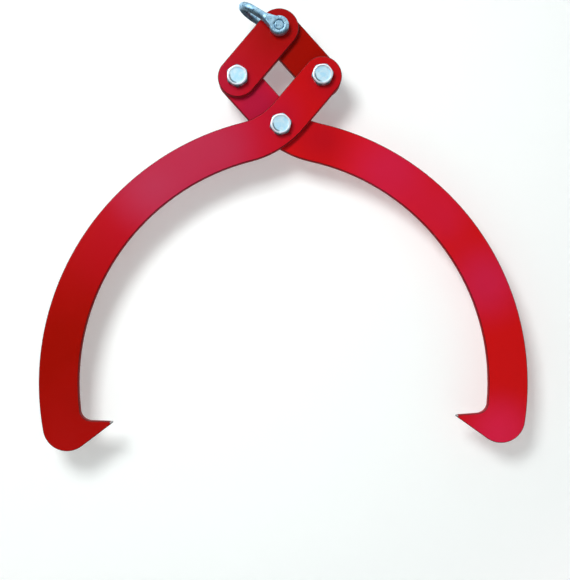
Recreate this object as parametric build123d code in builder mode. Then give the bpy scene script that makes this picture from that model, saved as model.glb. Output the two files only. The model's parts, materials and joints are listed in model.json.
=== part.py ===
from build123d import *
from math import atan2, cos, degrees, radians, sin, sqrt, tan
import os

# Log grapple: self-gripping hanging tongs cut from four flat steel plates.
# Two links hang on the pin of a D-shackle and open like scissors.
# Two hooked arms cross on the pivot bolt, and each arm's tail hangs on the far link's bolt.
# The four bolt centres make a rhombus, so lifting the shackle closes the hooks on a log.
# Frame: origin at the centre of the shackle pin, +Z up, +X to the right, -Y towards the front.
# The front layer (y < 0) holds the left arm and left link, the back layer the right ones.
# The right plates are the left ones turned over about Z. All sizes are millimetres and degrees.

# Plates
PLATE_T = 10.0
PLATE_W = 48.0
PLATE_EDGE = 0.8
LINK_SPAN = 79.0
HALF_ANGLE = 41.0

# Arm: straight tail, bend, long sweep, heel and spur
BEND_START = 15.8
BEND_R = 99.0
BEND_ANGLE = 35.7
SWEEP_R = 303.0
SWEEP_ANGLE = 86.2
HEEL_R = 29.6
HEEL_ANGLE = 116.8
SPUR_L = 49.2
SPUR_TIP_ANGLE = 39.7
SPUR_TIP_R = 1.2
THROAT_R = 13.6

# M16 bolts with prevailing-torque nuts and washers
BOLT_D = 16.0
BOLT_L = 45.0
BOLT_END_CHAMFER = 1.6
HEX_AF = 24.0
HEX_FACE_D = 22.6
HEX_CHAMFER_ANGLE = 30.0
HEAD_H = 10.0
HEAD_COLLAR_D = 22.2
HEAD_COLLAR_H = 0.6
HEAD_RECESS_D = 19.0
HEAD_RECESS_DEPTH = 0.4
WASHER_D = 30.0
WASHER_HOLE_D = 17.0
WASHER_T = 3.0
WASHER_EDGE = 0.4
NUT_HEX_H = 12.0
NUT_H = 16.0
NUT_COLLAR_D = 21.6
NUT_COLLAR_EDGE = 1.2
NUT_LIP_T = 0.9
NUT_MOUTH_D = 18.0
RING_D = 19.2
RING_T = 3.0

# D-shackle of 10 mm bar with a 12 mm pin
SHACKLE_BAR_D = 10.0
SHACKLE_JAW = 24.0
SHACKLE_INSIDE_L = 48.0
SHACKLE_EYE_D = 24.0
SHACKLE_EYE_T = 11.0
SHACKLE_ROOT_W = 22.0
SHACKLE_NECK_L = 22.0
SHACKLE_EDGE = 1.8
SHACKLE_LEAN = 57.0
PIN_D = 12.0
PIN_END_CHAMFER = 1.0
PIN_COLLAR_D = 19.0
PIN_COLLAR_T = 3.5
PIN_TAB_D = 20.0
PIN_TAB_T = 6.0
PIN_TAB_L = 22.0
PIN_TAB_HOLE_D = 8.0
PIN_TAB_EDGE = 1.2

# Clearances on radius
TURNING_FIT = 0.10
OPEN_PIVOT_FIT = 0.50
THREAD_FIT = 0.05

FRONT = (0, -1, 0)
BACK = (0, 1, 0)
REACH = (-sin(radians(SHACKLE_LEAN)), 0, cos(radians(SHACKLE_LEAN)))
ACROSS = (cos(radians(SHACKLE_LEAN)), 0, sin(radians(SHACKLE_LEAN)))


def front_plane(x, y, z, turn=0.0):
    """Plane facing the front, its X axis turned anticlockwise from the object's, as seen there."""
    return Plane(origin=(x, y, z), x_dir=(cos(radians(turn)), 0, sin(radians(turn))), z_dir=FRONT)


def back_plane(x, y, z):
    """Plane facing the back, with the object's X axis."""
    return Plane(origin=(x, y, z), x_dir=(1, 0, 0), z_dir=BACK)


def polar(centre, radius, angle):
    """Point at a radius from a centre, along an angle in degrees."""
    return (centre[0] + radius * cos(radians(angle)), centre[1] + radius * sin(radians(angle)))


def to_circle(start, angle, centre, radius):
    """Where a ray that starts inside a circle meets it."""
    ray = (cos(radians(angle)), sin(radians(angle)))
    gap = (start[0] - centre[0], start[1] - centre[1])
    along = ray[0] * gap[0] + ray[1] * gap[1]
    inside = radius ** 2 - gap[0] ** 2 - gap[1] ** 2
    return polar(start, sqrt(along ** 2 + inside) - along, angle)


# Bolt centres in the half-open pose, as (x, z)
PIN_AT = (0.0, 0.0)
LEFT_BOLT_AT = (-LINK_SPAN * sin(radians(HALF_ANGLE)), -LINK_SPAN * cos(radians(HALF_ANGLE)))
RIGHT_BOLT_AT = (-LEFT_BOLT_AT[0], LEFT_BOLT_AT[1])
PIVOT_AT = (0.0, 2 * LEFT_BOLT_AT[1])

BOLT_HOLE_D = BOLT_D + 2 * TURNING_FIT
OPEN_PIVOT_HOLE_D = BOLT_D + 2 * OPEN_PIVOT_FIT
PIN_HOLE_D = PIN_D + 2 * TURNING_FIT


def break_rims(plate):
    """Take the sharp edge off the outline of both faces of a plate."""
    front, back = plate.faces().filter_by(Axis.Y)
    chamfer(front.outer_wire().edges() + back.outer_wire().edges(), PLATE_EDGE)


def link_plate():
    """Left link in the front layer: a stadium with the pin's hole and the left bolt's."""
    middle = ((PIN_AT[0] + LEFT_BOLT_AT[0]) / 2, (PIN_AT[1] + LEFT_BOLT_AT[1]) / 2)
    lengthwise = 90 - HALF_ANGLE
    with BuildPart() as link:
        with BuildSketch(front_plane(middle[0], 0, middle[1], lengthwise)):
            SlotCenterToCenter(LINK_SPAN, PLATE_W)
            with Locations((LINK_SPAN / 2, 0)):
                Circle(PIN_HOLE_D / 2, mode=Mode.SUBTRACT)
            with Locations((-LINK_SPAN / 2, 0)):
                Circle(BOLT_HOLE_D / 2, mode=Mode.SUBTRACT)
        extrude(amount=PLATE_T)
        break_rims(link)
    return link


def arm_plate(pivot_hole_d):
    """Left arm in the front layer, drawn with the pivot at the origin and the tail along +Y.

    Every bow of the outline is an arc tangent to its neighbours: the bend and the sweep are
    concentric pairs half a plate's width each side of their centre line.
    """
    half = PLATE_W / 2
    bend_centre = (-BEND_R, BEND_START)
    sweep_centre = polar(bend_centre, BEND_R + SWEEP_R, -BEND_ANGLE)
    sweep_start = 180 - BEND_ANGLE
    sweep_end = sweep_start + SWEEP_ANGLE
    heel_centre = polar(sweep_centre, SWEEP_R + half - HEEL_R, sweep_end)
    flank = sweep_end + HEEL_ANGLE + 90
    flank_start = polar(heel_centre, HEEL_R, sweep_end + HEEL_ANGLE)
    tip = polar(flank_start, SPUR_L, flank)
    throat = to_circle(tip, flank + 180 - SPUR_TIP_ANGLE, sweep_centre, SWEEP_R - half)
    throat_angle = degrees(atan2(throat[1] - sweep_centre[1], throat[0] - sweep_centre[0])) % 360

    with BuildPart() as arm:
        with BuildSketch(front_plane(PIVOT_AT[0], 0, PIVOT_AT[1], -HALF_ANGLE)) as outline:
            with BuildLine():
                CenterArc((0, LINK_SPAN), half, 0, 180)
                Line((-half, LINK_SPAN), (-half, BEND_START))
                CenterArc(bend_centre, BEND_R - half, 0, -BEND_ANGLE)
                CenterArc(sweep_centre, SWEEP_R + half, sweep_start, SWEEP_ANGLE)
                CenterArc(heel_centre, HEEL_R, sweep_end, HEEL_ANGLE)
                Line(flank_start, tip)
                Line(tip, throat)
                CenterArc(sweep_centre, SWEEP_R - half, throat_angle, sweep_start - throat_angle)
                CenterArc(bend_centre, BEND_R + half, -BEND_ANGLE, BEND_ANGLE)
                Line((half, BEND_START), (half, LINK_SPAN))
            make_face()
            fillet(outline.vertices().sort_by_distance(throat)[0], THROAT_R)
            fillet(outline.vertices().sort_by_distance(tip)[0], SPUR_TIP_R)
            Circle(pivot_hole_d / 2, mode=Mode.SUBTRACT)
            with Locations((0, LINK_SPAN)):
                Circle(BOLT_HOLE_D / 2, mode=Mode.SUBTRACT)
        extrude(amount=PLATE_T)
        break_rims(arm)
    return arm


def turned_over(plate):
    """The same plate turned over about Z, which takes it from the front layer to the back one."""
    with BuildPart() as flipped:
        add(plate.part, rotation=(0, 0, 180))
    return flipped


def hex_bolt(at, turn):
    """M16 hex bolt with its head on the front plate: chamfered corners and a shallow recess."""
    cone_r = HEX_FACE_D / 2
    cone_growth = HEAD_H / tan(radians(HEX_CHAMFER_ANGLE))
    standing = (Align.CENTER, Align.CENTER, Align.MIN)
    hanging = (Align.CENTER, Align.CENTER, Align.MAX)
    seat = front_plane(at[0], -PLATE_T, at[1], turn)
    with BuildPart(seat) as bolt:
        with BuildSketch(seat):
            RegularPolygon(HEX_AF / 2, 6, major_radius=False)
        extrude(amount=HEAD_H)
        Cone(cone_r + cone_growth, cone_r, HEAD_H, align=standing, mode=Mode.INTERSECT)
        with BuildSketch(seat):
            Circle(HEX_AF)
            Circle(HEAD_COLLAR_D / 2, mode=Mode.SUBTRACT)
        extrude(amount=HEAD_COLLAR_H, mode=Mode.SUBTRACT)
        with Locations((0, 0, HEAD_H - HEAD_RECESS_DEPTH)):
            Cylinder(HEAD_RECESS_D / 2, HEAD_RECESS_DEPTH, align=standing, mode=Mode.SUBTRACT)
        Cylinder(BOLT_D / 2, BOLT_L, align=hanging)
        chamfer(bolt.edges().sort_by(Axis.Y)[-1], BOLT_END_CHAMFER)
    return bolt


def washer(at):
    """Flat washer between the back plate and the nut."""
    with BuildPart() as ring:
        with BuildSketch(back_plane(at[0], PLATE_T, at[1])):
            Circle(WASHER_D / 2)
            Circle(WASHER_HOLE_D / 2, mode=Mode.SUBTRACT)
        extrude(amount=WASHER_T)
        chamfer(ring.edges().filter_by(GeomType.CIRCLE).group_by(SortBy.RADIUS)[-1], WASHER_EDGE)
    return ring


def lock_nut(at):
    """M16 lock nut: chamfered hexagon and a round crimped collar with a groove for its ring."""
    cone_r = HEX_FACE_D / 2
    cone_growth = NUT_HEX_H / tan(radians(HEX_CHAMFER_ANGLE))
    standing = (Align.CENTER, Align.CENTER, Align.MIN)
    groove_top = NUT_H - NUT_LIP_T
    seat = back_plane(at[0], PLATE_T + WASHER_T, at[1])
    with BuildPart(seat) as nut:
        with BuildSketch(seat):
            RegularPolygon(HEX_AF / 2, 6, major_radius=False)
        extrude(amount=NUT_HEX_H)
        Cone(cone_r + cone_growth, cone_r, NUT_HEX_H, align=standing, mode=Mode.INTERSECT)
        Cone(cone_r, cone_r + cone_growth, NUT_HEX_H, align=standing, mode=Mode.INTERSECT)
        Cylinder(NUT_COLLAR_D / 2, NUT_H, align=standing)
        chamfer(nut.edges().filter_by(GeomType.CIRCLE).sort_by(Axis.Y)[-1], NUT_COLLAR_EDGE)
        Cylinder(BOLT_D / 2 + THREAD_FIT, NUT_H, align=standing, mode=Mode.SUBTRACT)
        with Locations((0, 0, groove_top - RING_T)):
            Cylinder(RING_D / 2, RING_T, align=standing, mode=Mode.SUBTRACT)
        with Locations((0, 0, groove_top)):
            Cylinder(NUT_MOUTH_D / 2, NUT_LIP_T, align=standing, mode=Mode.SUBTRACT)
    return nut


def locking_ring(at):
    """Nylon ring held in the lock nut's groove, squeezed against the bolt's thread."""
    ring_bottom = PLATE_T + WASHER_T + NUT_H - NUT_LIP_T - RING_T
    with BuildPart() as ring:
        with BuildSketch(back_plane(at[0], ring_bottom, at[1])):
            Circle(RING_D / 2 - THREAD_FIT)
            Circle(BOLT_D / 2 + THREAD_FIT, mode=Mode.SUBTRACT)
        extrude(amount=RING_T)
    return ring


def shackle_taper(leg_y):
    """Forged taper from the round leg to the eye: a cone flattened to the eye's thickness."""
    standing = (Align.CENTER, Align.CENTER, Align.MIN)
    with BuildPart(Plane(origin=(0, leg_y, 0), x_dir=BACK, z_dir=REACH)) as taper:
        Cone(SHACKLE_ROOT_W / 2, SHACKLE_BAR_D / 2, SHACKLE_NECK_L, align=standing)
        Box(SHACKLE_EYE_T, SHACKLE_ROOT_W, SHACKLE_NECK_L, align=standing, mode=Mode.INTERSECT)
    return taper


def shackle_eye(leg_y):
    """One flat eye of the shackle with broken edges, and the taper to its leg."""
    taper = shackle_taper(leg_y)
    with BuildPart() as eye:
        with BuildSketch(front_plane(0, leg_y, 0)):
            Circle(SHACKLE_EYE_D / 2)
        extrude(amount=SHACKLE_EYE_T / 2, both=True)
        chamfer(eye.edges().filter_by(GeomType.CIRCLE), SHACKLE_EDGE)
        add(taper.part)
    return eye


def shackle():
    """D-shackle bow: a bent bar whose two legs spread into flat eyes for the pin."""
    leg_y = (SHACKLE_JAW + SHACKLE_EYE_T) / 2
    bar_r = SHACKLE_BAR_D / 2
    crown_at = SHACKLE_INSIDE_L + bar_r - leg_y
    bow_plane = Plane(origin=(0, 0, 0), x_dir=BACK, z_dir=ACROSS)
    eyes = [shackle_eye(side * leg_y) for side in (-1, 1)]
    with BuildPart() as bow:
        with BuildLine(bow_plane) as spine:
            Line((-leg_y, SHACKLE_NECK_L), (-leg_y, crown_at))
            CenterArc((0, crown_at), leg_y, 180, -180)
            Line((leg_y, crown_at), (leg_y, SHACKLE_NECK_L))
        with BuildSketch(Plane(origin=spine.line @ 0, z_dir=REACH)):
            Circle(bar_r)
        sweep(path=spine.line)
        for eye in eyes:
            add(eye.part)
        with Locations(back_plane(0, 0, 0)):
            Cylinder(PIN_HOLE_D / 2, 2 * (leg_y + SHACKLE_EYE_T), mode=Mode.SUBTRACT)
    return bow


def pin_tab():
    """Flat eyed tab that turns the shackle pin."""
    root_at = SHACKLE_JAW / 2 + SHACKLE_EYE_T + PIN_COLLAR_T / 2
    eye_at = PIN_TAB_L + PIN_COLLAR_T / 2 - PIN_TAB_D / 2
    with BuildPart() as tab:
        with BuildSketch(Plane(origin=(0, root_at, 0), x_dir=BACK, z_dir=ACROSS)):
            with BuildLine():
                CenterArc((eye_at, 0), PIN_TAB_D / 2, 0, 360)
                Line((0, -PIN_D / 2), (0, PIN_D / 2))
            make_hull()
            with Locations((eye_at, 0)):
                Circle(PIN_TAB_HOLE_D / 2, mode=Mode.SUBTRACT)
        extrude(amount=PIN_TAB_T / 2, both=True)
        flats = tab.faces().sort_by(SortBy.AREA)[-2:]
        chamfer(flats.edges(), PIN_TAB_EDGE)
    return tab


def shackle_pin():
    """Shackle pin: plain bar, flush at the front eye, with a collar and a flat eyed tab behind."""
    ear_y = SHACKLE_JAW / 2 + SHACKLE_EYE_T
    standing = (Align.CENTER, Align.CENTER, Align.MIN)
    tab = pin_tab()
    with BuildPart() as pin:
        with Locations(back_plane(0, -ear_y, 0)):
            Cylinder(PIN_D / 2, 2 * ear_y, align=standing)
        chamfer(pin.edges().sort_by(Axis.Y)[0], PIN_END_CHAMFER)
        with Locations(back_plane(0, ear_y, 0)):
            Cylinder(PIN_COLLAR_D / 2, PIN_COLLAR_T, align=standing)
        add(tab.part)
    return pin


def keep(piece, name):
    """Label one finished piece and write it under its own name."""
    piece.part.label = name
    export_step(piece.part, f"parts/{name}.step")


os.makedirs("parts", exist_ok=True)

keep(arm_plate(BOLT_HOLE_D), "left_arm")
keep(turned_over(arm_plate(OPEN_PIVOT_HOLE_D)), "right_arm")
keep(link_plate(), "left_link")
keep(turned_over(link_plate()), "right_link")
keep(shackle(), "shackle_bow")
keep(shackle_pin(), "shackle_pin")

# Each bolt's place and how far its head was left turned when it was tightened
BOLTS = {"left": (LEFT_BOLT_AT, 30.0), "right": (RIGHT_BOLT_AT, 6.0), "pivot": (PIVOT_AT, 14.0)}
for place, (at, turn) in BOLTS.items():
    keep(hex_bolt(at, turn), f"{place}_bolt")
    keep(washer(at), f"{place}_washer")
    keep(lock_nut(at), f"{place}_nut")
    keep(locking_ring(at), f"{place}_nut_ring")
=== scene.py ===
import bmesh
import bpy
import json
import math
from mathutils import Matrix, Vector


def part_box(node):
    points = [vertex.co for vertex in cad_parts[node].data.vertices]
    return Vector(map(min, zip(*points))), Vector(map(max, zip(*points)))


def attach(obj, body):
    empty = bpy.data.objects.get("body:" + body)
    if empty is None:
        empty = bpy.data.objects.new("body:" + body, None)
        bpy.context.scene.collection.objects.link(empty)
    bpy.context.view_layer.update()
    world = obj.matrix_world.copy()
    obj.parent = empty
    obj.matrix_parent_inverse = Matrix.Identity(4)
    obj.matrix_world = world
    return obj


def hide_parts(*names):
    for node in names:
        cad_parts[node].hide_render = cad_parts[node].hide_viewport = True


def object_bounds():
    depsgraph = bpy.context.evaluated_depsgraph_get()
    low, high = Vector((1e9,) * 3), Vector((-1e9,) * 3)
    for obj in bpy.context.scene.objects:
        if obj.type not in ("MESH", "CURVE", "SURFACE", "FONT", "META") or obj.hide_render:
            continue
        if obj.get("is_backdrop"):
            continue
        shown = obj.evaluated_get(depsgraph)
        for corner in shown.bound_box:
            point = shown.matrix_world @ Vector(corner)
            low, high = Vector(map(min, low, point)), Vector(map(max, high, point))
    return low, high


# The view: the tongs hang flat in front of the camera, a little over a metre away.
# The camera stands below the middle of the arms, looks up at them by less than a degree
# and is rolled by as much.
MM = 0.001
PHOTO_HEIGHT = 580
FOCAL_LENGTH = 936.6
SENSOR = 36.0
CAMERA_AT = Vector((-3.2, -1150.0, -334.5)) * MM
CAMERA_PITCH = math.radians(0.70)
CAMERA_ROLL = math.radians(0.895)
CAMERA_TURN = math.radians(-0.26)

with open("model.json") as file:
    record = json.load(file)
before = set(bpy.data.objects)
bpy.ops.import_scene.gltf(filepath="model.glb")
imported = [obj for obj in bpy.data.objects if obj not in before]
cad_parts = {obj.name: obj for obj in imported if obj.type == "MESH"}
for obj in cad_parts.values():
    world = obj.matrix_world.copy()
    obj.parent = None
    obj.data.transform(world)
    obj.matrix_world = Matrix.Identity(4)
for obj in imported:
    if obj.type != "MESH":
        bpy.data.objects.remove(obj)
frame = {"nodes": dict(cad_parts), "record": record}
cad_low, cad_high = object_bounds()
bodies = frame["record"]["behaviour"]["bodies"]
body_of = {node: body for body, members in bodies.items() for node in members}

camera = bpy.data.objects.new("camera", bpy.data.cameras.new("camera"))
camera.location = CAMERA_AT
camera.rotation_euler = (math.radians(90) + CAMERA_PITCH, CAMERA_ROLL, CAMERA_TURN)
camera.data.sensor_width = SENSOR
camera.data.lens = FOCAL_LENGTH / PHOTO_HEIGHT * SENSOR
bpy.context.scene.collection.objects.link(camera)
bpy.context.scene.camera = camera
bpy.context.scene.view_settings.view_transform = "Standard"


# Arms and links: four laser-cut plates of 10 mm steel, sprayed in gloss red, into which painted shade,
# light, sheen and reflection are mixed. Their filed rims and sides are darkened as painted shade, and
# the two spurs' points are worn to bare steel.
# The plates are a hair thinner here, so two that slide on each other never share a face.
JOIN = 0.002 * MM
FLAT_WITHIN = math.radians(0.4)
SHARP_ABOVE = math.radians(25.0)
RIM_ROUND = 0.25 * MM
SLIDING_GAP = 0.998
# Besides the paint's own red, these tones paint light and shade on the plates. Darker reds are painted
# shade and brighter reds painted light. Crimsons and rose are a painted bluish reflection, and the sheen
# tone is a painted sheen. Deep red also tints the speckles.
DEEP_RED = (0.308, 0.0028, 0.0001, 1)
DUSKY_RED = (0.425, 0.0036, 0.0100, 1)
CLEAR_RED = (0.500, 0.0042, 0.0068, 1)
BRIGHT_RED = (0.585, 0.0052, 0.0060, 1)
DUSKY_CRIMSON = (0.410, 0.0068, 0.0380, 1)
CRIMSON = (0.460, 0.0075, 0.0390, 1)
BRIGHT_CRIMSON = (0.575, 0.0120, 0.0500, 1)
ROSE = (0.680, 0.0140, 0.0600, 1)
PAINTED_SHEEN = (0.445, 0.0310, 0.0760, 1)
# The edge shade is a dark colour painted on rims and sides as shade.
EDGE_SHADE = (0.085, 0.0035, 0.0040, 1)
BARE_STEEL = (0.42, 0.41, 0.40, 1)
GLOSS = 0.15
PAINT_SHINE = 0.24
CLOUD_GRAIN = 14.0
SPECKLE_GRAIN = 260.0
WEAR_AND_SHADE_GRAIN = 120.0
PEEL_GRAIN = 420.0
KERF_GRAIN = (1400.0, 60.0, 1400.0)
PEEL_DEPTH = 0.02 * MM
PATCH_RAGGED = 0.5
SPECKLE_STEP = (0.62, 0.80)
SPECKLE_SHARE = 0.10
# How far a spot's normal turns to the front: 0 on a side, between on a rim, 1 on a face.
SIDE_ENDS = (0.05, 0.30)
RIM_STARTS = (0.10, 0.45)
RIM_ENDS = (0.86, 0.98)
RIM_SHADE = 0.92
SIDE_SHADE = 0.40
SIDE_DULLNESS = 0.50
RIM_SHADE_STEP = (0.15, 0.45)
BARE_STEP = (0.68, 0.74)
WORN_STEP = (0.42, 0.56)
SPUR_TIPS = {"left_arm": (-210.4, -478.1), "right_arm": (210.4, -478.1)}
WORN_REACH = 4.5


class Value:
    """One output of a node, so that node maths is written as Python expressions."""

    def __init__(self, graph, socket):
        self.graph = graph
        self.socket = socket

    def maths(self, operation, first, second=None):
        inputs = {0: first} if second is None else {0: first, 1: second}
        return self.graph.add("ShaderNodeMath", {"operation": operation}, inputs)

    def __add__(self, other):
        return self.maths("ADD", self, other)

    __radd__ = __add__

    def __sub__(self, other):
        return self.maths("SUBTRACT", self, other)

    def __rsub__(self, other):
        return self.maths("SUBTRACT", other, self)

    def __mul__(self, other):
        return self.maths("MULTIPLY", self, other)

    __rmul__ = __mul__

    def __truediv__(self, other):
        return self.maths("DIVIDE", self, other)

    def __rtruediv__(self, other):
        return self.maths("DIVIDE", other, self)

    def __mod__(self, other):
        return self.maths("FLOORED_MODULO", self, other)

    def __abs__(self):
        return self.maths("ABSOLUTE", self)

    def floor(self):
        return self.maths("FLOOR", self)

    def root(self):
        return self.maths("SQRT", self)

    def cosine(self):
        return self.maths("COSINE", self)

    def sine(self):
        return self.maths("SINE", self)

    def least(self, other):
        return self.maths("MINIMUM", self, other)

    def most(self, other):
        return self.maths("MAXIMUM", self, other)

    def above(self, other):
        return self.maths("GREATER_THAN", self, other)

    def rise(self, low, high):
        """0 below low, 1 above high, and a soft step between them."""
        settings = {"interpolation_type": "SMOOTHSTEP"}
        return self.graph.add("ShaderNodeMapRange", settings, {0: self, 1: low, 2: high})


class Graph:
    """A node tree with one method that adds any node, sets it up and joins its sockets."""

    def __init__(self, tree):
        self.tree = tree
        tree.nodes.clear()

    def add(self, kind, settings=None, inputs=None, output=0):
        node = self.tree.nodes.new(kind)
        for name, value in (settings or {}).items():
            setattr(node, name, value)
        for name, value in (inputs or {}).items():
            if isinstance(value, Value):
                self.tree.links.new(value.socket, node.inputs[name])
            else:
                node.inputs[name].default_value = value
        return Value(self, node.outputs[output]) if len(node.outputs) else node

    def mix(self, factor, first, second):
        return self.add("ShaderNodeMix", {"data_type": "RGBA"}, {0: factor, 6: first, 7: second}, 2)

    def parts(self, vector):
        """The X, Y and Z of a vector."""
        split = self.add("ShaderNodeSeparateXYZ", None, {0: vector})
        return [Value(self, socket) for socket in split.socket.node.outputs]

    def vector(self, x, y, z):
        return self.add("ShaderNodeCombineXYZ", None, {0: x, 1: y, 2: z})

    def noise(self, where, scale, detail=2.0, roughness=0.5):
        inputs = {"Vector": where, "Scale": scale, "Detail": detail, "Roughness": roughness}
        return self.add("ShaderNodeTexNoise", None, inputs)

    def bump(self, height, distance, strength):
        inputs = {"Height": height, "Distance": distance, "Strength": strength}
        return self.add("ShaderNodeBump", None, inputs)

    def surface(self, **inputs):
        """The tree's one Principled surface; underscores in the names stand for spaces."""
        sockets = {name.replace("_", " "): value for name, value in inputs.items()}
        shader = self.add("ShaderNodeBsdfPrincipled", None, sockets)
        self.add("ShaderNodeOutputMaterial", None, {"Surface": shader})


def new_material(name):
    material = bpy.data.materials.new(name)
    material.use_nodes = True
    return material, Graph(material.node_tree)


def near(graph, x, z, centre, reach):
    """1 at a centre (x, z) in the plates' plane, falling softly to 0 at its reach."""
    across = x - centre[0] * MM
    up = z - centre[1] * MM
    return 1 - (across * across + up * up).root().rise(0.0, reach * MM)


def red_paint(name, ground, patches, tip=None):
    """Gloss red paint on a ground tone, with soft patches ((x, z), reach, tone, share) in mm that paint
    shade, light, sheen and reflection into the red.
    """
    material, graph = new_material(name)
    here = graph.add("ShaderNodeTexCoord", output="Object")
    normal_y = graph.parts(graph.add("ShaderNodeNewGeometry", output="True Normal"))[1]
    x, y, z = graph.parts(here)
    cloud = graph.noise(here, CLOUD_GRAIN, 2.0) - 0.5
    colour = ground
    # Each patch paints shade, light, sheen or reflection over the ground tone.
    for centre, reach, tone, share in patches:
        patch = near(graph, x, z, centre, reach)
        colour = graph.mix((patch * share + cloud * PATCH_RAGGED * patch).least(1.0), colour, tone)
    speckle = graph.noise(here, SPECKLE_GRAIN, 3.0, 0.6)
    colour = graph.mix(speckle.rise(*SPECKLE_STEP) * SPECKLE_SHARE, colour, DEEP_RED)
    facing = abs(normal_y)
    rim = facing.rise(*RIM_STARTS) * (1 - facing.rise(*RIM_ENDS))
    # One noise breaks up both the rims' painted shade and their wear to bare steel. Painted shade: rims
    # darken in patches and sides darken all along, as faces turned away from the front light.
    wear_and_shade = graph.noise(here, WEAR_AND_SHADE_GRAIN, 3.0, 0.6)
    colour = graph.mix(rim * wear_and_shade.rise(*RIM_SHADE_STEP) * RIM_SHADE, colour, EDGE_SHADE)
    side = 1 - facing.rise(*SIDE_ENDS)
    colour = graph.mix(side * SIDE_SHADE, colour, EDGE_SHADE)
    bare = rim * wear_and_shade.rise(*BARE_STEP) * 0.5
    if tip:
        worn = near(graph, x, z, tip, WORN_REACH)
        bare = bare.most((worn + (wear_and_shade - 0.5) * 0.9).rise(*WORN_STEP))
    colour = graph.mix(bare, colour, BARE_STEEL)
    peel = graph.noise(here, PEEL_GRAIN, 1.0)
    stretched = graph.vector(x * KERF_GRAIN[0], y * KERF_GRAIN[1], z * KERF_GRAIN[2])
    kerf = graph.noise(stretched, 1.0, 2.0) * side
    graph.surface(
        Base_Color=colour,
        Metallic=bare * 0.9,
        Roughness=GLOSS + speckle * 0.08 + side * SIDE_DULLNESS + bare * 0.15,
        Normal=graph.bump(peel * 0.3 + kerf, PEEL_DEPTH, 0.6),
        Specular_IOR_Level=PAINT_SHINE,
    )
    return material


def solid_copy(node, name, material):
    """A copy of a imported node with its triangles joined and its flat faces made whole."""
    mesh = frame["nodes"][node].data.copy()
    shape = bmesh.new()
    shape.from_mesh(mesh)
    bmesh.ops.remove_doubles(shape, verts=shape.verts, dist=JOIN)
    bmesh.ops.dissolve_limit(
        shape,
        angle_limit=FLAT_WITHIN,
        verts=shape.verts,
        edges=shape.edges,
        use_dissolve_boundaries=False,
    )
    shape.to_mesh(mesh)
    shape.free()
    mesh.materials.clear()
    mesh.materials.append(material)
    piece = bpy.data.objects.new(name, mesh)
    bpy.context.scene.collection.objects.link(piece)
    return piece


def bake(piece):
    """Turn a piece's modifiers into its plain mesh."""
    bpy.context.view_layer.update()
    result = bpy.data.meshes.new_from_object(piece.evaluated_get(bpy.context.evaluated_depsgraph_get()))
    piece.modifiers.clear()
    piece.data = result
    result.name = piece.name
    return piece


def round_edges(piece, width):
    """Round the sharp edges of a piece and keep its flat faces flat."""
    piece.data.shade_smooth()
    bevel = piece.modifiers.new("round edges", "BEVEL")
    bevel.width = width
    bevel.segments = 2
    bevel.limit_method = "ANGLE"
    bevel.angle_limit = SHARP_ABOVE
    flatten = piece.modifiers.new("flat faces stay flat", "WEIGHTED_NORMAL")
    flatten.weight = 100
    return bake(piece)


def fit(piece, node):
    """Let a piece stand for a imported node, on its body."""
    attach(piece, body_of[node])
    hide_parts(node)


# Each plate's ground tone, then its patches: middle (x, z) and reach in mm, tone and share. Ground tones
# and patches are painted light and shade: deeper reds are painted shade, brighter reds painted light,
# crimson and rose a painted bluish reflection, and the sheen tone a painted sheen.
PLATE_LIGHT_AND_SHADE = {
    "left_arm": (
        CLEAR_RED,
        [
            ((62, -70), 40, DUSKY_RED, 0.7),
            ((-280, -400), 280, DEEP_RED, 1.0),
            ((-215, -265), 80, DUSKY_RED, 0.6),
            ((-110, -160), 170, CRIMSON, 1.0),
            ((-90, -150), 85, PAINTED_SHEEN, 0.75),
            ((-155, -193), 75, PAINTED_SHEEN, 0.95),
            ((-2, -100), 45, CRIMSON, 0.35),
        ],
    ),
    "right_arm": (
        BRIGHT_RED,
        [
            ((50, -135), 60, DUSKY_RED, 0.9),
            ((135, -178), 85, BRIGHT_CRIMSON, 1.0),
            ((195, -230), 60, BRIGHT_CRIMSON, 0.6),
            ((248, -315), 70, BRIGHT_CRIMSON, 1.0),
            ((262, -500), 64, ROSE, 1.0),
            ((-30, -92), 75, DUSKY_CRIMSON, 1.0),
        ],
    ),
    "left_link": (DUSKY_RED, [((0, 0), 75, DEEP_RED, 0.8), ((-75, -70), 55, DUSKY_CRIMSON, 0.6)]),
    "right_link": (DEEP_RED, [((60, -80), 45, DUSKY_RED, 0.8)]),
}
for node, (ground, patches) in PLATE_LIGHT_AND_SHADE.items():
    paint = red_paint(node + "_red", ground, patches, SPUR_TIPS.get(node))
    plate = solid_copy(node, node + "_plate", paint)
    plate_low, plate_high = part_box(node)
    to_middle = Matrix.Translation((0.0, (plate_low.y + plate_high.y) / 2, 0.0))
    plate.data.transform(to_middle @ Matrix.Scale(SLIDING_GAP, 4, (0, 1, 0)) @ to_middle.inverted())
    round_edges(plate, RIM_ROUND)
    fit(plate, node)


# Bolts: three M16 hexagon screws, zinc plated to a pale blue, with a shallow round recess
# in each head. Heads and shanks are turned shapes; a Geometry Nodes tree spins the outline,
# clips it to a hexagon and cuts a right-hand thread of 2 mm pitch.
THREAD_PITCH = 2.0 * MM
THREAD_DEPTH = 1.15 * MM
THREAD_STEEPNESS = 2.5
THREAD_ROOT = 0.12
SMOOTH_BELOW = math.radians(32.0)
PLAIN_SHANK = 20.0 * MM
ACROSS_FLATS = 24.0 * MM
CHAMFER_SLOPE = math.tan(math.radians(30))
HAIR = 0.001 * MM
ROUND_SEGMENTS = 144
HEAD_TURNS = {"left": 30.0, "right": 6.0, "pivot": 14.0}
ZINC = ((0.500, 0.830, 1.000, 1), (0.710, 0.910, 1.000, 1), (0.230, 0.340, 0.450, 1))
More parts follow.
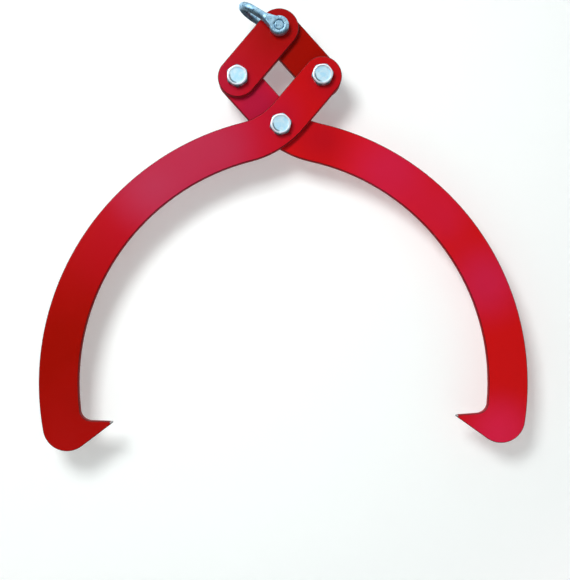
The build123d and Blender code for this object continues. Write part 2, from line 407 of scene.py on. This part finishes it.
# The rim colour is a painted highlight; the dark colour is painted shade on bolt heads' corners and at
# one side of their recesses.
RIM_HIGHLIGHT_ZINC = (0.97, 0.95, 1.0, 1)
HEAD_SHADE = (0.035, 0.055, 0.075, 1)
MOTTLE_GRAIN = 170.0
SPOT_GRAIN = 430.0
SCRATCH_GRAIN = (300.0, 300.0, 2600.0)
SCRATCH_DEPTH = 0.015 * MM
MOTTLE_STEP = (0.35, 0.68)
SPOT_STEP = (0.68, 0.80)
SPOT_SPREAD = 0.12
RIM_HIGHLIGHT_SHARE = 0.9
CORNER_SHADE_SHARE = 0.75
RECESS_SHADE_SHARE = 0.85
RECESS_SHADE_STEP = (0.90, 1.15)
RIM_INSIDE = (9.6, 10.2)
RIM_OUTSIDE = (11.6, 12.1)
CORNERS = (11.9, 12.5)
RECESS_SHADE_INSIDE = (7.6, 8.8)
RECESS_SHADE_OUTSIDE = (9.6, 10.0)
RECESS_SHADE_TOWARDS = (-0.80, -0.60)


def zinc(name, seed, roughness=0.44, tarnish=0.35, tones=ZINC, metal=0.80, head=None):
    """Zinc plating in three tones: a ground, paler clouds and dull spots, with fine scratches.

    A bolt head's middle (x, z) adds a painted highlight on the rim of its face, painted shade on its
    corners and painted shade at the lower left of its recess, each between two radii in mm.
    """
    material, graph = new_material(name)
    here = graph.add("ShaderNodeTexCoord", output="Object")
    x, y, z = graph.parts(here)
    moved = graph.vector(x + seed, y, z)
    mottle = graph.noise(moved, MOTTLE_GRAIN, 3.0, 0.6)
    spots = graph.noise(moved, SPOT_GRAIN, 2.0, 0.7)
    ground, pale, spotted = tones
    colour = graph.mix(mottle.rise(*MOTTLE_STEP), ground, pale)
    spread = SPOT_SPREAD * tarnish
    dull = spots.rise(SPOT_STEP[0] - spread, SPOT_STEP[1] - spread) * tarnish
    colour = graph.mix(dull, colour, spotted)
    if head:
        across = x - head[0]
        up = z - head[1]
        radius = (across * across + up * up).root() / MM
        # Painted light on a bolt head: a highlight on the face's rim, shade on its corners and shade at
        # the lower left of its recess.
        rim = radius.rise(*RIM_INSIDE) * (1 - radius.rise(*RIM_OUTSIDE))
        colour = graph.mix(rim * RIM_HIGHLIGHT_SHARE, colour, RIM_HIGHLIGHT_ZINC)
        colour = graph.mix(radius.rise(*CORNERS) * CORNER_SHADE_SHARE, colour, HEAD_SHADE)
        towards = (across * RECESS_SHADE_TOWARDS[0] + up * RECESS_SHADE_TOWARDS[1]) / (radius * MM + HAIR)
        ring = radius.rise(*RECESS_SHADE_INSIDE) * (1 - radius.rise(*RECESS_SHADE_OUTSIDE))
        recess_shade = ring * (towards + mottle * 0.5).rise(*RECESS_SHADE_STEP)
        colour = graph.mix(recess_shade * RECESS_SHADE_SHARE, colour, HEAD_SHADE)
        roughness = roughness - rim * 0.14
    stretched = graph.vector(x * SCRATCH_GRAIN[0], y * SCRATCH_GRAIN[1], z * SCRATCH_GRAIN[2])
    scratches = graph.noise(stretched, 1.0, 2.0)
    graph.surface(
        Base_Color=colour,
        Metallic=metal,
        Roughness=roughness + mottle * 0.12 + dull * 0.2,
        Normal=graph.bump(scratches * 0.4 + mottle, SCRATCH_DEPTH, 0.5),
    )
    return material


def turned_tree():
    """Spins an outline round Z, clips it to a hexagon and cuts a thread between two heights."""
    tree = bpy.data.node_groups.new("turned part", "GeometryNodeTree")
    graph = Graph(tree)
    tree.interface.new_socket("Geometry", in_out="INPUT", socket_type="NodeSocketGeometry")
    numbers = ("Across flats", "Hexagon top", "Turn", "Pitch", "Depth", "Thread start", "Thread end")
    for name in numbers:
        tree.interface.new_socket(name, in_out="INPUT", socket_type="NodeSocketFloat")
    tree.interface.new_socket("Segments", in_out="INPUT", socket_type="NodeSocketInt")
    tree.interface.new_socket("Finish", in_out="INPUT", socket_type="NodeSocketMaterial")
    tree.interface.new_socket("Geometry", in_out="OUTPUT", socket_type="NodeSocketGeometry")
    given = tree.nodes.new("NodeGroupInput")
    asked = {socket.name: Value(graph, socket) for socket in given.outputs if socket.name}

    points = graph.add("GeometryNodeAttributeDomainSize", None, {0: asked["Geometry"]})
    around = asked["Segments"] + 1
    grid = graph.add("GeometryNodeMeshGrid", None, {2: points, 3: around})
    index = graph.add("GeometryNodeInputIndex")
    step = ((index + 0.5) / around).floor()
    angle = (index - step * around) / asked["Segments"] * math.tau
    place = graph.add("GeometryNodeInputPosition")
    sampled = {0: asked["Geometry"], 1: place, 2: step}
    outline = graph.add("GeometryNodeSampleIndex", {"data_type": "FLOAT_VECTOR"}, sampled)
    radius, _, height = graph.parts(outline)

    sixth = math.tau / 6
    folded = (angle - asked["Turn"]) % sixth - sixth / 2
    flat = asked["Across flats"] / 2 / folded.cosine()
    clipped = asked["Hexagon top"].above(height)
    radius = radius.least(flat) * clipped + radius * (1 - clipped)

    phase = (height / asked["Pitch"] - angle / math.tau) % 1.0
    groove = 1 - (abs(phase - 0.5) * THREAD_STEEPNESS - THREAD_ROOT).rise(0.0, 1.0)
    threaded = height.above(asked["Thread start"]) * asked["Thread end"].above(height)
    radius = radius - groove * asked["Depth"] * threaded

    spun = graph.vector(radius * angle.cosine(), radius * angle.sine(), height)
    shaped = graph.add("GeometryNodeSetPosition", None, {"Geometry": grid, "Position": spun})
    closed = graph.add("GeometryNodeMergeByDistance", None, {"Geometry": shaped, "Distance": JOIN})
    real = graph.add("GeometryNodeRealizeInstances", None, {"Geometry": closed})
    done = graph.add("GeometryNodeSetMaterial", None, {"Geometry": real, "Material": asked["Finish"]})
    result = tree.nodes.new("NodeGroupOutput")
    tree.links.new(done.socket, result.inputs[0])
    return tree


TURNED = turned_tree()


class Outline(list):
    """Points (radius, height) of a turned shape, in metres, joined by straight lines and arcs."""

    def to(self, radius, height, steps=1):
        start = self[-1]
        for step in range(1, steps + 1):
            share = step / steps
            self.append((start[0] + (radius - start[0]) * share, start[1] + (height - start[1]) * share))
        return self

    def arc(self, centre, size, first, last, steps):
        for step in range(steps + 1):
            angle = math.radians(first + (last - first) * step / steps)
            self.append((centre[0] + size * math.cos(angle), centre[1] + size * math.sin(angle)))
        return self


def turned(name, outline, place, finish, **numbers):
    """Spin an outline into a closed piece and set it in its place."""
    mesh = bpy.data.meshes.new(name)
    edges = [(i, i + 1) for i in range(len(outline) - 1)]
    mesh.from_pydata([(radius, 0.0, height) for radius, height in outline], edges, [])
    piece = bpy.data.objects.new(name, mesh)
    bpy.context.scene.collection.objects.link(piece)
    sizes = {
        "Across flats": 1.0,
        "Hexagon top": -1.0,
        "Turn": 0.0,
        "Pitch": 1.0,
        "Depth": 0.0,
        "Thread start": 1.0,
        "Thread end": -1.0,
        "Segments": ROUND_SEGMENTS,
        "Finish": finish,
    }
    sizes.update(numbers)
    spin = piece.modifiers.new("turned part", "NODES")
    spin.node_group = TURNED
    for item in TURNED.interface.items_tree:
        if item.in_out == "INPUT" and item.name in sizes:
            spin[item.identifier] = sizes[item.name]
    bake(piece)
    shape = bmesh.new()
    shape.from_mesh(piece.data)
    shape.transform(place)
    bmesh.ops.dissolve_degenerate(shape, edges=shape.edges, dist=JOIN / 4)
    bmesh.ops.recalc_face_normals(shape, faces=shape.faces)
    shape.to_mesh(piece.data)
    shape.free()
    piece.data.shade_smooth()
    piece.data.set_sharp_from_angle(angle=SMOOTH_BELOW)
    return piece


def middle(node):
    low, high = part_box(node)
    return (low + high) / 2


def facing_front(at, seat):
    """Frame at a bolt's axis on a seat in Y, with Z pointing to the front and X to the right."""
    return Matrix.Translation((at.x, seat, at.z)) @ Matrix.Rotation(math.radians(90), 4, "X")


def facing_back(at, seat):
    """The same with Z pointing to the back."""
    return Matrix.Translation((at.x, seat, at.z)) @ Matrix.Rotation(math.radians(-90), 4, "X")


def bolt_outline(head, shank):
    """Recess, rounded rim, chamfer, flats, seat, plain shank, threaded end and its point."""
    corner = 13.3 * MM
    face = 11.4 * MM
    edge = head - (corner - face) * CHAMFER_SLOPE
    recess = 9.3 * MM
    recess_floor = head - 0.55 * MM
    fillet = 0.5 * MM
    lip = 0.35 * MM
    seat_face = 11.1 * MM
    core = 8.0 * MM
    point = 1.5 * MM
    outline = Outline([(0.0, recess_floor)])
    outline.to(recess, recess_floor, 4)
    outline.arc((recess, recess_floor + fillet), fillet, -90, -20, 4)
    outline.arc((recess + 1.15 * MM, head - lip), lip, 160, 80, 4)
    outline.to(face, head - 0.03 * MM, 2)
    outline.to(corner, edge, 14)
    outline.to(corner, edge - 0.5 * MM, 2)
    outline.to(corner, 0.9 * MM, 4)
    outline.to(seat_face + 0.1 * MM, 0.5 * MM, 6)
    outline.to(seat_face, 0.0)
    outline.to(core + 0.05 * MM, 0.0, 2)
    outline.to(core, -0.4 * MM)
    outline.to(core, -PLAIN_SHANK, 6)
    outline.to(core, -shank + point + 0.1 * MM, 92)
    outline.to(core - point, -shank, 6)
    outline.to(0.0, -shank, 4)
    return outline


for side, turn in HEAD_TURNS.items():
    node = side + "_bolt"
    low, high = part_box(node)
    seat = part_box("left_arm")[0].y
    bolt = turned(
        node + "_screw",
        bolt_outline(seat - low.y, high.y - seat),
        facing_front(middle(node), seat),
        zinc(node + "_zinc", turn, head=(middle(node).x, middle(node).z)),
        **{
            "Across flats": ACROSS_FLATS,
            "Hexagon top": 1.0,
            "Turn": math.radians(turn),
            "Pitch": THREAD_PITCH,
            "Depth": THREAD_DEPTH,
            "Thread start": seat - high.y + 0.8 * MM,
            "Thread end": -PLAIN_SHANK - 0.2 * MM,
        },
    )
    fit(bolt, node)


# Washers, lock nuts and their rings: behind the plates each bolt has a flat washer and a
# hexagon nut of zinc-plated steel, whose crimped collar holds a nylon ring on the thread.
NYLON = (0.80, 0.83, 0.84, 1)
NYLON_SHADE = (0.62, 0.66, 0.68, 1)
NYLON_GRAIN = 500.0
NYLON_DEPTH = 0.02 * MM
COLLAR_HEIGHT = 4.0 * MM


def nylon(name):
    material, graph = new_material(name)
    here = graph.add("ShaderNodeTexCoord", output="Object")
    grain = graph.noise(here, NYLON_GRAIN, 3.0, 0.6)
    graph.surface(
        Base_Color=graph.mix(grain.rise(0.4, 0.7), NYLON, NYLON_SHADE),
        Roughness=0.42 + grain * 0.15,
        Normal=graph.bump(grain, NYLON_DEPTH, 0.5),
        Subsurface_Weight=0.15,
        Subsurface_Scale=0.001,
    )
    return material


def washer_outline(outer, thickness):
    """A punched disc: rounded outside, a small burr's chamfer in the hole."""
    inner = 8.5 * MM
    edge = 0.35 * MM
    chamfer = 0.15 * MM
    outline = Outline([(inner, 0.0)])
    outline.to(outer - edge, 0.0, 2)
    outline.arc((outer - edge, edge), edge, -90, 0, 3)
    outline.arc((outer - edge, thickness - edge), edge, 0, 90, 3)
    outline.to(inner + chamfer, thickness, 2)
    outline.to(inner, thickness - chamfer)
    outline.to(inner, 0.0)
    return outline


def nut_outline(height):
    """Countersunk bore, chamfered hexagon and a collar crimped over the ring's groove."""
    bore = 8.06 * MM
    countersink = 1.0 * MM
    corner = 13.55 * MM
    face = 11.3 * MM
    rise = (corner - face) * CHAMFER_SLOPE
    shoulder = height - COLLAR_HEIGHT
    collar = 10.78 * MM
    crimp = 1.3 * MM
    lip = 9.0 * MM
    lip_under = height - 0.9 * MM
    groove = 9.58 * MM
    outline = Outline([(bore, countersink)])
    outline.to(bore + 0.95 * MM, 0.0)
    outline.to(face, 0.0, 2)
    outline.to(corner, rise, 12)
    outline.to(corner, shoulder - rise, 6)
    outline.to(face, shoulder, 12)
    outline.to(collar + 0.25 * MM, shoulder)
    outline.to(collar, shoulder + 0.3 * MM)
    outline.to(collar, height - crimp - 0.05 * MM)
    outline.arc((collar - crimp, height - crimp), crimp, 0, 78, 7)
    outline.to(lip, height - 0.12 * MM)
    outline.to(lip - 0.02 * MM, lip_under + 0.02 * MM)
    outline.to(groove, lip_under)
    outline.to(groove, shoulder + 0.1 * MM)
    outline.to(bore, shoulder + 0.05 * MM)
    outline.to(bore, countersink)
    return outline


def ring_outline(thickness):
    """A plain ring whose bore opens a little towards the bolt's end."""
    inner = 8.05 * MM
    outer = 9.55 * MM
    outline = Outline([(inner, 0.0)])
    outline.to(outer, 0.0)
    outline.to(outer, thickness)
    outline.to(inner + 0.5 * MM, thickness)
    outline.to(inner, thickness - 0.35 * MM, 3)
    outline.to(inner, 0.0)
    return outline


for count, side in enumerate(HEAD_TURNS):
    washer_low, washer_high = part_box(side + "_washer")
    washer = turned(
        side + "_flat_washer",
        washer_outline((washer_high.x - washer_low.x) / 2, washer_high.y - washer_low.y),
        facing_back(middle(side + "_washer"), washer_low.y),
        zinc(side + "_washer_zinc", 3.0 + count, 0.40),
    )
    fit(washer, side + "_washer")
    nut_low, nut_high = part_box(side + "_nut")
    nut = turned(
        side + "_lock_nut",
        nut_outline(nut_high.y - nut_low.y),
        facing_back(middle(side + "_nut"), nut_low.y),
        zinc(side + "_nut_zinc", 7.0 + count, 0.34),
        **{"Across flats": ACROSS_FLATS, "Hexagon top": nut_high.y - nut_low.y - COLLAR_HEIGHT + HAIR},
    )
    fit(nut, side + "_nut")
    ring_low, ring_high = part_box(side + "_nut_ring")
    ring = turned(
        side + "_nylon_ring",
        ring_outline(ring_high.y - ring_low.y),
        facing_back(middle(side + "_nut_ring"), ring_low.y),
        nylon(side + "_ring_nylon"),
    )
    fit(ring, side + "_nut_ring")


# Shackle: a drop-forged 10 mm bow whose flattened eyes hold a screwed pin with a flat tab.
# Both are galvanised, with grey spangles. The forging's edges are soft, so the bow is
# remeshed and smoothed.
FORGED_GRAIN = 0.55 * MM
FORGED_PASSES = 8
PIN_ROUND = 0.3 * MM
GALVANISED = ((0.300, 0.520, 0.690, 1), (0.480, 0.720, 0.850, 1), (0.045, 0.085, 0.130, 1))


def forged(node, name, material):
    """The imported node's shape with the soft edges of a forging."""
    piece = solid_copy(node, name, material)
    remesh = piece.modifiers.new("grain", "REMESH")
    remesh.mode = "VOXEL"
    remesh.voxel_size = FORGED_GRAIN
    soften = piece.modifiers.new("soften", "SMOOTH")
    soften.factor = 0.5
    soften.iterations = FORGED_PASSES
    bake(piece).data.shade_smooth()
    return piece


galvanised = zinc("shackle_zinc", 11.0, 0.34, 1.0, GALVANISED, 0.94)
bow = forged("shackle_bow", "shackle_bow_forging", galvanised)
fit(bow, "shackle_bow")
pin = solid_copy("shackle_pin", "shackle_pin_forging", galvanised)
round_edges(pin, PIN_ROUND)
fit(pin, "shackle_pin")


# Stage: a white wall just behind the tongs takes their soft shadow, and a pale floor lies
# below them. The wall shows from the front only and hides nothing from behind.
WALL_BEHIND = 58.0 * MM
FLOOR_AT = -705.0 * MM
WALL_PAINT = (0.86, 0.90, 0.89, 1)
WALL_LIFT = 0.165
WALL_FADE = (0.42, 0.75)
FLOOR_LIFT = 0.20
FLOOR_FADE = (0.45, 0.9)
STAGE_REACH = 3.0
WHITE = (1.0, 1.0, 1.0, 1)


def pale_stage(name, centre, fade, lift, one_sided):
    """White paint that keeps a shadow near the tongs and fades to plain white further out."""
    material, graph = new_material(name)
    position = graph.add("ShaderNodeNewGeometry", output="Position")
    x, y, z = graph.parts(position)
    dx = x - centre.x
    dy = y - centre.y
    dz = z - centre.z
    away = (dx * dx + dy * dy + dz * dz).root().rise(*fade)
    matt = graph.add("ShaderNodeBsdfDiffuse", None, {"Color": WALL_PAINT})
    glow = graph.add("ShaderNodeEmission", None, {"Color": WHITE, "Strength": lift})
    lit = graph.add("ShaderNodeAddShader", None, {0: matt, 1: glow})
    plain = graph.add("ShaderNodeEmission", None, {"Color": WHITE, "Strength": 1.0})
    camera_ray = graph.add("ShaderNodeLightPath", output="Is Camera Ray")
    seen = graph.add("ShaderNodeMixShader", None, {0: away, 1: lit, 2: plain})
    shown = graph.add("ShaderNodeMixShader", None, {0: camera_ray, 1: matt, 2: seen})
    if one_sided:
        behind = graph.add("ShaderNodeNewGeometry", output="Backfacing")
        clear = graph.add("ShaderNodeBsdfTransparent")
        shown = graph.add("ShaderNodeMixShader", None, {0: behind, 1: shown, 2: clear})
    graph.add("ShaderNodeOutputMaterial", None, {"Surface": shown})
    return material


def panel(name, corners, material):
    """One flat sheet of the stage."""
    mesh = bpy.data.meshes.new(name)
    mesh.from_pydata(corners, [], [(0, 1, 2, 3)])
    mesh.materials.append(material)
    sheet = bpy.data.objects.new(name, mesh)
    bpy.context.scene.collection.objects.link(sheet)
    sheet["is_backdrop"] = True
    return sheet


centre = (cad_low + cad_high) / 2
wall_centre = Vector((centre.x, WALL_BEHIND, centre.z))
wall = panel(
    "wall",
    [
        (-STAGE_REACH, WALL_BEHIND, FLOOR_AT),
        (STAGE_REACH, WALL_BEHIND, FLOOR_AT),
        (STAGE_REACH, WALL_BEHIND, STAGE_REACH),
        (-STAGE_REACH, WALL_BEHIND, STAGE_REACH),
    ],
    pale_stage("wall_paint", wall_centre, WALL_FADE, WALL_LIFT, True),
)
wall.visible_shadow = False
wall.visible_diffuse = False
wall.visible_glossy = False
floor_centre = Vector((centre.x, 0.0, FLOOR_AT))
floor = panel(
    "floor",
    [
        (-STAGE_REACH, -STAGE_REACH, FLOOR_AT),
        (STAGE_REACH, -STAGE_REACH, FLOOR_AT),
        (STAGE_REACH, STAGE_REACH, FLOOR_AT),
        (-STAGE_REACH, STAGE_REACH, FLOOR_AT),
    ],
    pale_stage("floor_paint", floor_centre, FLOOR_FADE, FLOOR_LIFT, False),
)
floor.visible_glossy = False


# Light: one big soft box in front, up and to the left, a second one behind for the far side,
# and an even pale sky. Polished faces see a darker room with soft boxes in it.
SKY_SHARE = 0.33
KEY_SHARE = 0.70
REAR_SHARE = 0.35
KEY_FROM = Vector((-0.31, -1.0, 0.40)).normalized()
REAR_FROM = Vector((0.45, 0.85, 0.30)).normalized()
LAMP_SIZE = 0.46
LAMP_FAR = 1.55
FRONT = Vector((0.0, -1.0, 0.0))
DARK_FRONT = (math.cos(math.radians(45)), math.cos(math.radians(22)))
DARK_FRONT_SHARE = 0.94
ROOM_BELOW = 0.07
ROOM_ABOVE = 0.38
ROOM_RISE = (-0.40, 0.25)
ROOM_TINT = (0.90, 0.96, 1.0, 1)
# Each reflected soft box: direction, the angles where it is full and where it ends, strength.
SOFT_BOXES = (
    ((-0.50, -1.00, 0.55), 10.0, 26.0, 3.4),
    ((-0.75, -0.50, 0.45), 14.0, 30.0, 1.6),
    ((0.75, -0.55, 0.30), 18.0, 34.0, 0.9),
    ((-0.60, 0.70, 0.35), 20.0, 38.0, 1.2),
    ((0.55, 0.70, 0.45), 20.0, 38.0, 1.0),
    ((0.0, -0.35, 0.94), 20.0, 45.0, 1.0),
)


def soft_box(name, direction, share):
    """A square lamp that lights a white surface facing it to the given share of full white."""
    lamp = bpy.data.objects.new(name, bpy.data.lights.new(name, "AREA"))
    lamp.data.shape = "SQUARE"
    lamp.data.size = LAMP_SIZE
    lamp.data.energy = share * math.pi ** 2 * LAMP_FAR ** 2
    lamp.location = centre + direction * LAMP_FAR
    lamp.rotation_euler = direction.to_track_quat("Z", "Y").to_euler()
    lamp.visible_glossy = False
    bpy.context.scene.collection.objects.link(lamp)
    return lamp


soft_box("key_soft_box", KEY_FROM, KEY_SHARE)
soft_box("rear_soft_box", REAR_FROM, REAR_SHARE)

world = bpy.data.worlds.new("studio")
world.use_nodes = True
bpy.context.scene.world = world
sky = Graph(world.node_tree)
towards = sky.add("ShaderNodeTexCoord", output="Generated")
forward = sky.add("ShaderNodeVectorMath", {"operation": "DOT_PRODUCT"}, {0: towards, 1: FRONT}, "Value")
dark_side = forward.rise(*DARK_FRONT) * DARK_FRONT_SHARE
room = (ROOM_BELOW + ROOM_ABOVE * sky.parts(towards)[2].rise(*ROOM_RISE)) * (1 - dark_side)
for direction, inner, outer, strength in SOFT_BOXES:
    aim = Vector(direction).normalized()
    along = sky.add("ShaderNodeVectorMath", {"operation": "DOT_PRODUCT"}, {0: towards, 1: aim}, "Value")
    room = room + strength * along.rise(math.cos(math.radians(outer)), math.cos(math.radians(inner)))
camera_ray = sky.add("ShaderNodeLightPath", output="Is Camera Ray")
glossy_ray = sky.add("ShaderNodeLightPath", output="Is Glossy Ray")
seen = sky.add("ShaderNodeBackground", None, {"Color": WHITE, "Strength": 1.0})
shone = sky.add("ShaderNodeBackground", None, {"Color": ROOM_TINT, "Strength": room})
even = sky.add("ShaderNodeBackground", None, {"Color": WHITE, "Strength": SKY_SHARE})
light = sky.add("ShaderNodeMixShader", None, {0: glossy_ray, 1: even, 2: shone})
view = sky.add("ShaderNodeMixShader", None, {0: camera_ray, 1: light, 2: seen})
sky.add("ShaderNodeOutputWorld", None, {"Surface": view})

low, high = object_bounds()
